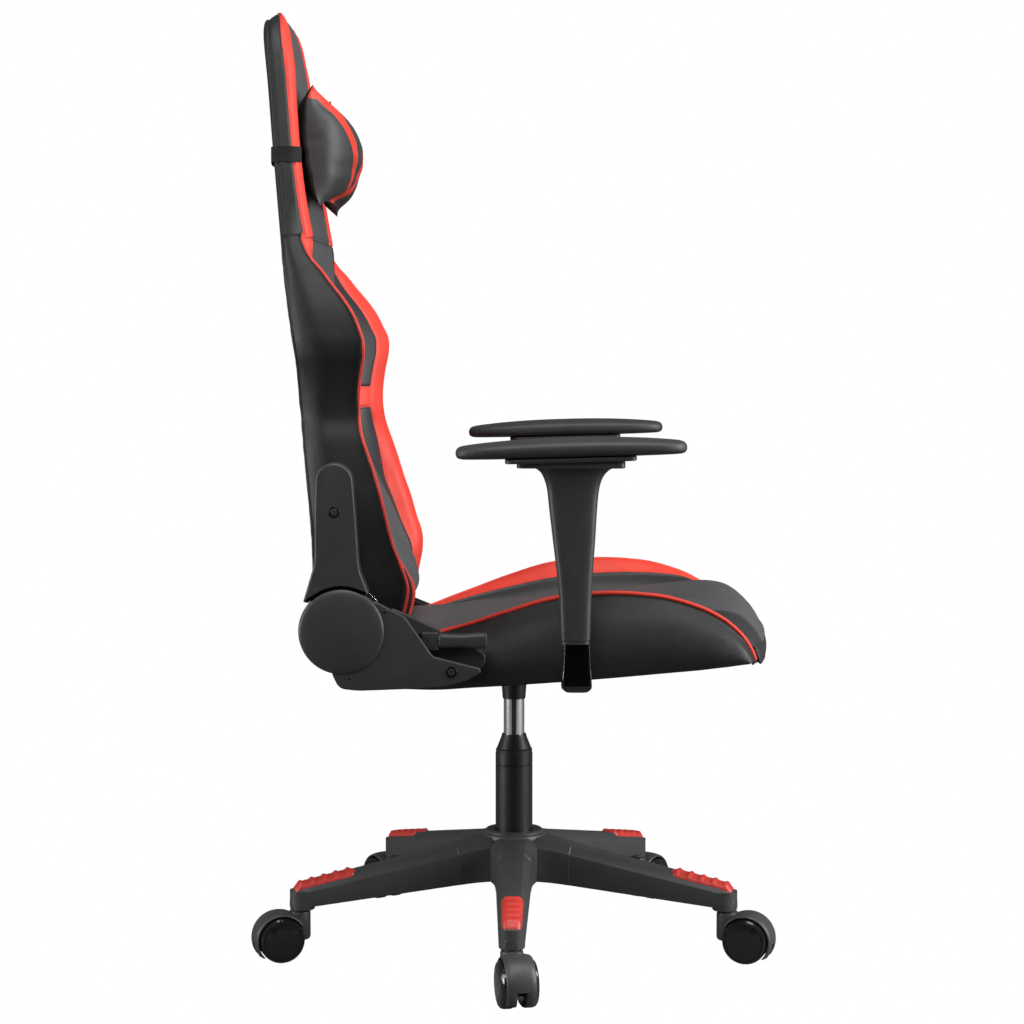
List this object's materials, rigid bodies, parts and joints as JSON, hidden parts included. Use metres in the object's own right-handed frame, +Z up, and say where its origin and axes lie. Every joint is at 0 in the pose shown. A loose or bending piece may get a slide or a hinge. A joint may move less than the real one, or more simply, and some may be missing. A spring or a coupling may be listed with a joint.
{
  "type": "gaming chair",
  "caption": "High-back office chair with a reclining winged back, head pillow, fixed armrests, gas lift and a castor base.",
  "frame": {"origin": "on the floor, on the axis of the gas column", "axes": "+Z up; the sitter faces -Y; the sitter's right, with the recline lever, is -X"},
  "size_m": [0.6956, 0.6894, 1.245],
  "materials": {
    "moulded_plastic": "matte",
    "red_plastic": "satin",
    "soft_plastic": "matte",
    "wheel_plastic": "gloss",
    "chrome": "polished",
    "grey_leather": "satin",
    "black_leather": "satin",
    "black_fabric": "matte",
    "black_steel": "gloss"
  },
  "bodies": {
    "base": {"star_base": "moulded_plastic", "foot_grips": "red_plastic", "column_tube": "black_steel", "guide_bush": "moulded_plastic", "thrust_bearing": "chrome"},
    "piston": {"piston_rod": "chrome", "rod_clip": "chrome"},
    "seat": {"gas_cylinder": "chrome", "seat_plate": "black_steel", "fasteners": "black_steel", "seat_frame": "black_steel", "seat_webbing": "black_fabric", "seat_cushion": "grey_leather", "seat_bolsters": "black_leather", "seat_bottom_cover": "black_fabric", "arm_bracket_right": "black_steel", "arm_bracket_left": "black_steel", "arm_post_right": "moulded_plastic", "arm_post_left": "moulded_plastic", "arm_plates": "moulded_plastic", "arm_pad_right": "soft_plastic", "arm_pad_left": "soft_plastic", "hinge_bracket_right": "black_steel", "hinge_bracket_left": "black_steel", "disc_cover_right": "moulded_plastic", "disc_cover_left": "moulded_plastic", "lower_cover_right": "moulded_plastic", "lower_cover_left": "moulded_plastic", "recline_pins": "chrome", "recline_springs": "black_steel"},
    "back": {"back_frame": "black_steel", "upper_cover_right": "moulded_plastic", "upper_cover_left": "moulded_plastic", "back_cushion": "grey_leather", "back_bolsters": "black_leather"},
    "pillow": {"head_pillow": "grey_leather", "head_strap": "black_fabric"},
    "recline_lever": {"recline_lever": "moulded_plastic"},
    "height_lever": {"height_lever": "black_steel"},
    "valve": {"valve_pin": "chrome"},
    "castor_1": {"castor_1_hood": "moulded_plastic", "castor_1_pins": "chrome"},
    "castor_1_wheel_a": {"castor_1_wheel_a": "wheel_plastic"},
    "castor_1_wheel_b": {"castor_1_wheel_b": "wheel_plastic"},
    "castor_2": {"castor_2_hood": "moulded_plastic", "castor_2_pins": "chrome"},
    "castor_2_wheel_a": {"castor_2_wheel_a": "wheel_plastic"},
    "castor_2_wheel_b": {"castor_2_wheel_b": "wheel_plastic"},
    "castor_3": {"castor_3_hood": "moulded_plastic", "castor_3_pins": "chrome"},
    "castor_3_wheel_a": {"castor_3_wheel_a": "wheel_plastic"},
    "castor_3_wheel_b": {"castor_3_wheel_b": "wheel_plastic"},
    "castor_4": {"castor_4_hood": "moulded_plastic", "castor_4_pins": "chrome"},
    "castor_4_wheel_a": {"castor_4_wheel_a": "wheel_plastic"},
    "castor_4_wheel_b": {"castor_4_wheel_b": "wheel_plastic"},
    "castor_5": {"castor_5_hood": "moulded_plastic", "castor_5_pins": "chrome"},
    "castor_5_wheel_a": {"castor_5_wheel_a": "wheel_plastic"},
    "castor_5_wheel_b": {"castor_5_wheel_b": "wheel_plastic"}
  },
  "joints": [
    {"name": "seat_swivel", "type": "hinge", "parent": "base", "child": "piston", "pos_m": [0, 0, 0.1], "axis": [0, 0, 1], "continuous": true},
    {"name": "seat_height", "type": "slide", "parent": "piston", "child": "seat", "axis": [0, 0, 1], "range_m": [-0.02, 0.08]},
    {"name": "recline", "type": "hinge", "parent": "seat", "child": "back", "pos_m": [0, 0.209, 0.461], "axis": [-1, 0, 0], "range_deg": [0, 60]},
    {"name": "recline_release", "type": "hinge", "parent": "seat", "child": "recline_lever", "pos_m": [-0.28, 0.209, 0.461], "axis": [-1, 0, 0], "range_deg": [0, 15], "stiffness_Nm_per_rad": 1.2, "springref_deg": -17.19},
    {"name": "height_release", "type": "hinge", "parent": "seat", "child": "height_lever", "pos_m": [0.034, 0, 0.384], "axis": [0, -1, 0], "range_deg": [0, 5]},
    {"name": "valve_press", "type": "slide", "parent": "seat", "child": "valve", "axis": [0, 0, -1], "range_m": [0, 0.0034]},
    {"name": "pillow_slide", "type": "slide", "parent": "back", "child": "pillow", "axis": [0, 0.0749, 0.9972], "range_m": [0, 0.05]},
    {"name": "castor_1_swivel", "type": "hinge", "parent": "base", "child": "castor_1", "pos_m": [-0.297, 0, 0.08], "axis": [0, 0, 1], "continuous": true},
    {"name": "castor_1_roll_a", "type": "hinge", "parent": "castor_1", "child": "castor_1_wheel_a", "pos_m": [-0.32331, -0.00607, 0.03], "axis": [0.225, -0.9744, 0], "continuous": true},
    {"name": "castor_1_roll_b", "type": "hinge", "parent": "castor_1", "child": "castor_1_wheel_b", "pos_m": [-0.32331, -0.00607, 0.03], "axis": [0.225, -0.9744, 0], "continuous": true},
    {"name": "castor_2_swivel", "type": "hinge", "parent": "base", "child": "castor_2", "pos_m": [-0.09178, -0.28246, 0.08], "axis": [0, 0, 1], "continuous": true},
    {"name": "castor_2_roll_a", "type": "hinge", "parent": "castor_2", "child": "castor_2_wheel_a", "pos_m": [-0.10012, -0.30814, 0.03], "axis": [0.9511, -0.309, 0], "continuous": true},
    {"name": "castor_2_roll_b", "type": "hinge", "parent": "castor_2", "child": "castor_2_wheel_b", "pos_m": [-0.10012, -0.30814, 0.03], "axis": [0.9511, -0.309, 0], "continuous": true},
    {"name": "castor_3_swivel", "type": "hinge", "parent": "base", "child": "castor_3", "pos_m": [0.24028, -0.17457, 0.08], "axis": [0, 0, 1], "continuous": true},
    {"name": "castor_3_roll_a", "type": "hinge", "parent": "castor_3", "child": "castor_3_wheel_a", "pos_m": [0.26212, -0.19044, 0.03], "axis": [0.5878, 0.809, 0], "continuous": true},
    {"name": "castor_3_roll_b", "type": "hinge", "parent": "castor_3", "child": "castor_3_wheel_b", "pos_m": [0.26212, -0.19044, 0.03], "axis": [0.5878, 0.809, 0], "continuous": true},
    {"name": "castor_4_swivel", "type": "hinge", "parent": "base", "child": "castor_4", "pos_m": [0.24028, 0.17457, 0.08], "axis": [0, 0, 1], "continuous": true},
    {"name": "castor_4_roll_a", "type": "hinge", "parent": "castor_4", "child": "castor_4_wheel_a", "pos_m": [0.26212, 0.19044, 0.03], "axis": [-0.5878, 0.809, 0], "continuous": true},
    {"name": "castor_4_roll_b", "type": "hinge", "parent": "castor_4", "child": "castor_4_wheel_b", "pos_m": [0.26212, 0.19044, 0.03], "axis": [-0.5878, 0.809, 0], "continuous": true},
    {"name": "castor_5_swivel", "type": "hinge", "parent": "base", "child": "castor_5", "pos_m": [-0.09178, 0.28246, 0.08], "axis": [0, 0, 1], "continuous": true},
    {"name": "castor_5_roll_a", "type": "hinge", "parent": "castor_5", "child": "castor_5_wheel_a", "pos_m": [-0.10012, 0.30814, 0.03], "axis": [-0.9511, -0.309, 0], "continuous": true},
    {"name": "castor_5_roll_b", "type": "hinge", "parent": "castor_5", "child": "castor_5_wheel_b", "pos_m": [-0.10012, 0.30814, 0.03], "axis": [-0.9511, -0.309, 0], "continuous": true}
  ],
  "couplings": [
    {"joint": "valve_press", "follows": "height_release", "m_per_rad": 0.0367}
  ]
}
